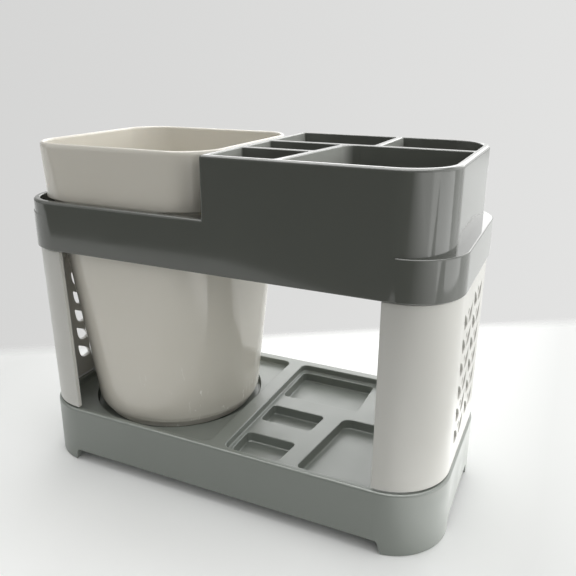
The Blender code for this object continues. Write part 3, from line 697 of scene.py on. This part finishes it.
grown(cup, cup_tree, {
    "Height": cup_height, "Foot height": foot_height, "Foot radius": foot_radius,
    "Body half": collar - shoulder_step, "Body corner": body_corner,
    "Shoulder height": shoulder_z, "Shoulder rise": shoulder_rise, "Shoulder step": shoulder_step,
    "Collar corner": collar_corner, "Rim flare": rim_flare, "Rim corner": rim_corner, "Finish": cup_beige})
shape = bmesh.new()
shape.from_mesh(cup.data)
bmesh.ops.holes_fill(shape, edges=shape.edges)
bmesh.ops.remove_doubles(shape, verts=shape.verts, dist=1e-6)
bmesh.ops.recalc_face_normals(shape, faces=shape.faces)
shape.transform(Matrix.Translation((cup_x, 0.0, cup_low.z)))
shape.to_mesh(cup.data)
shape.free()
smoothed(cup, 40)
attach(cup, "cup")
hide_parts("rinse_cup")


# Studio: a pale floor before a pale wall, a tall and a low soft light at the right, one lamp at the
# front left, one behind and a ceiling. For the camera the floor is painted palest round the holder. Only
# reflections see the dark floor past the table's edge in front, the two glowing patches of floor at the
# right and the bright middle of the ceiling.
floor_half = 3.0
floor_shape = bmesh.new()
floor_shape.faces.new([floor_shape.verts.new((x, y, 0.0)) for x, y in rectangle(-floor_half, floor_half,
                                                                               -floor_half, floor_half)])
studio_floor = as_object("studio_floor", floor_shape)
pale, tree = new_material("matt_pale_floor")
place = node(tree, "ShaderNodeNewGeometry")["Position"]
rays = node(tree, "ShaderNodeLightPath")
x, y = node(tree, "ShaderNodeSeparateXYZ", {0: place})[:2]

# The camera sees the floor up to the foot of the wall, a slanting line, and the wall's own tone beyond it
wall_slope, wall_start = 0.642, 0.1429
foot_line = maths(tree, "SUBTRACT", y, maths(tree, "MULTIPLY_ADD", x, wall_slope, wall_start))
past_line = node(tree, "ShaderNodeMapRange", {"Value": foot_line, "From Min": -0.012,
                                              "From Max": 0.006})["Result"]
distance = node(tree, "ShaderNodeVectorMath", {0: place}, operation="LENGTH")["Value"]
far = node(tree, "ShaderNodeMapRange", {"Value": distance, "From Min": 0.35, "From Max": 0.75})["Result"]
faded = maths(tree, "MULTIPLY", maths(tree, "MAXIMUM", past_line, far), rays["Is Camera Ray"])

# For the camera it is painted palest round the holder, a painted pool of light with darker floor to both
# sides. In reflections it is pale up to the table's edge, and dark past it.
from_left = node(tree, "ShaderNodeMapRange", {"Value": x, "From Min": -0.16, "From Max": -0.04})["Result"]
from_right = node(tree, "ShaderNodeMapRange", {"Value": x, "From Min": 0.115, "From Max": 0.045})["Result"]
painted_light_pool = maths(tree, "MULTIPLY", from_left, from_right)
pale_floor = node(tree, "ShaderNodeMix", {0: painted_light_pool, 6: linear("#DBDCDB"), 7: linear("#FBFCFB")},
                  data_type="RGBA")[2]
edge_soft, edge_left, edge_middle, edge_right = 0.003, -0.322, (0.385, -0.262), (-0.36, -0.03)
table_edge = maths(tree, "MAXIMUM", maths(tree, "MULTIPLY_ADD", x, *edge_middle), edge_left)
table_edge = maths(tree, "MINIMUM", table_edge, maths(tree, "MULTIPLY_ADD", x, *edge_right))
in_front = node(tree, "ShaderNodeMapRange", {"Value": maths(tree, "SUBTRACT", table_edge, y),
                                             "From Min": -edge_soft, "From Max": edge_soft})["Result"]
mirrored_floor = node(tree, "ShaderNodeMix", {0: in_front, 6: linear("#E9EAE9"), 7: linear("#282828")},
                      data_type="RGBA")[2]
colour = node(tree, "ShaderNodeMix", {0: rays["Is Camera Ray"], 6: mirrored_floor, 7: pale_floor},
              data_type="RGBA")[2]
matt = node(tree, "ShaderNodeBsdfDiffuse", {"Color": colour})[0]

# The patches that glow in reflections only, a painted light: one beside the tray for its right corner, one
# further off for the box and the band
near_end, near_middle, near_reach, far_start = 0.130, -0.03, 0.11, -0.14
near_patch = node(tree, "ShaderNodeMapRange", {"Value": x, "From Min": 0.075, "From Max": 0.100,
                                               "To Max": 1.4})["Result"]
near_patch = maths(tree, "MULTIPLY", near_patch, maths(tree, "LESS_THAN", x, near_end))
near_patch = maths(tree, "MULTIPLY", near_patch, maths(tree, "COMPARE", y, near_middle, near_reach))
to_right = maths(tree, "MULTIPLY_ADD", y, 0.6, x)
far_patch = node(tree, "ShaderNodeMapRange", {"Value": to_right, "From Min": -0.04, "From Max": 0.29,
                                              "To Max": 2.0})["Result"]
far_patch = maths(tree, "MULTIPLY", far_patch, maths(tree, "LESS_THAN", y, far_start))
patches = maths(tree, "MULTIPLY", maths(tree, "ADD", near_patch, far_patch), rays["Is Glossy Ray"])
glow = node(tree, "ShaderNodeEmission", {"Color": linear("#FFFFFE"), "Strength": patches})[0]
matt = node(tree, "ShaderNodeAddShader", {0: matt, 1: glow})[0]
through = node(tree, "ShaderNodeBsdfTransparent")[0]
surface = node(tree, "ShaderNodeMixShader", {0: faded, 1: matt, 2: through})[0]
node(tree, "ShaderNodeOutputMaterial", {"Surface": surface})
studio_floor.data.materials.append(pale)

# The camera sees a plain pale wall. The object is lit by a ceiling and by three soft sides.
ceiling_tone, mirrored_ceiling = 0.71, 4.5
back_tone, right_tone, left_tone = 1.32, 1.62, 0.35
world = bpy.data.worlds.new("pale_backdrop")
bpy.context.scene.world = world
world.use_nodes = True
tree = world.node_tree
tree.nodes.clear()
rays = node(tree, "ShaderNodeLightPath")
direction = node(tree, "ShaderNodeTexCoord")["Generated"]
x, y, height = node(tree, "ShaderNodeSeparateXYZ", {0: direction})
wall_tone = node(tree, "ShaderNodeMapRange", {"Value": x, "From Min": -0.75, "From Max": 0.05,
                                              "To Min": 0.67, "To Max": 0.77})["Result"]
overhead = node(tree, "ShaderNodeMapRange", {"Value": height, "From Min": 0.35, "From Max": 0.75},
                interpolation_type="SMOOTHSTEP")["Result"]
room_tone = maths(tree, "MULTIPLY", overhead, ceiling_tone)
mirrored_top = node(tree, "ShaderNodeMapRange", {"Value": height, "From Min": 0.70, "From Max": 0.90,
                                                 "To Max": mirrored_ceiling})["Result"]
mirrored_top = maths(tree, "MULTIPLY", mirrored_top, rays["Is Glossy Ray"])
room_tone = maths(tree, "ADD", room_tone, mirrored_top)
flat = maths(tree, "ADD", maths(tree, "MULTIPLY", x, x), maths(tree, "MULTIPLY", y, y))
level = maths(tree, "SUBTRACT", 1.0, overhead)
to_left = maths(tree, "MULTIPLY", x, -1.0)
for way, strength in ((y, back_tone), (x, right_tone), (to_left, left_tone)):
    towards = maths(tree, "DIVIDE", maths(tree, "POWER", maths(tree, "MAXIMUM", way, 0.0), 2.0), flat)
    side = maths(tree, "MULTIPLY", maths(tree, "MULTIPLY", towards, strength), level)
    room_tone = maths(tree, "ADD", room_tone, side)
tone = node(tree, "ShaderNodeMix", {0: rays["Is Camera Ray"], 2: room_tone, 3: wall_tone},
            data_type="FLOAT")[0]
background = node(tree, "ShaderNodeBackground", {"Color": linear("#FFFFFE"), "Strength": tone})[0]
node(tree, "ShaderNodeOutputWorld", {"Surface": background})

# Soft lamps: name, place, what it faces, width and height, watts
lamps = (
    ("side_wall", (0.34, 0.10, 0.22), (0.0, 0.10, 0.22), (0.52, 0.44), 0.24),
    ("low_strip", (0.345, 0.03, 0.05), (0.0, 0.03, 0.05), (0.20, 0.09), 0.10),
    ("front_left", (-0.55, -0.40, 0.30), (-0.03, 0.0, 0.06), (0.50, 0.50), 0.42),
    ("behind", (-0.10, 0.90, 0.55), (0.0, 0.0, 0.03), (1.40, 0.60), 4.8),
    ("ceiling", (0.0, 0.10, 0.80), (0.0, 0.0, 0.0), (0.90, 0.70), 2.2),
)
for name, spot, target, (width, height), watts in lamps:
    light = bpy.data.lights.new(name, "AREA")
    light.shape = "RECTANGLE"
    light.size = width
    light.size_y = height
    light.energy = watts
    lamp = bpy.data.objects.new(name, light)
    bpy.context.scene.collection.objects.link(lamp)
    aim = Vector(target) - Vector(spot)
    lamp.matrix_world = Matrix.Translation(spot) @ aim.to_track_quat("-Z", "Y").to_matrix().to_4x4()
    lamp.visible_camera = False

# The camera stands at the front right and looks 18 degrees down
camera_place = (0.112397, -0.219368, 0.160074)
camera_turn, camera_tilt, camera_roll = 24.8836, 17.753, 0.1631
camera_data = bpy.data.cameras.new("camera")
camera_data.lens = 40.247
camera_data.sensor_width = 36.0
camera_data.shift_x = 0.00916
camera_data.shift_y = -0.02946
camera_data.clip_start = 0.01
camera = bpy.data.objects.new("camera", camera_data)
bpy.context.scene.collection.objects.link(camera)
camera.matrix_world = (Matrix.Translation(camera_place)
                       @ Matrix.Rotation(math.radians(camera_turn), 4, "Z")
                       @ Matrix.Rotation(math.radians(90 - camera_tilt), 4, "X")
                       @ Matrix.Rotation(math.radians(camera_roll), 4, "Z"))
bpy.context.scene.camera = camera
bpy.context.scene.view_settings.view_transform = "Standard"
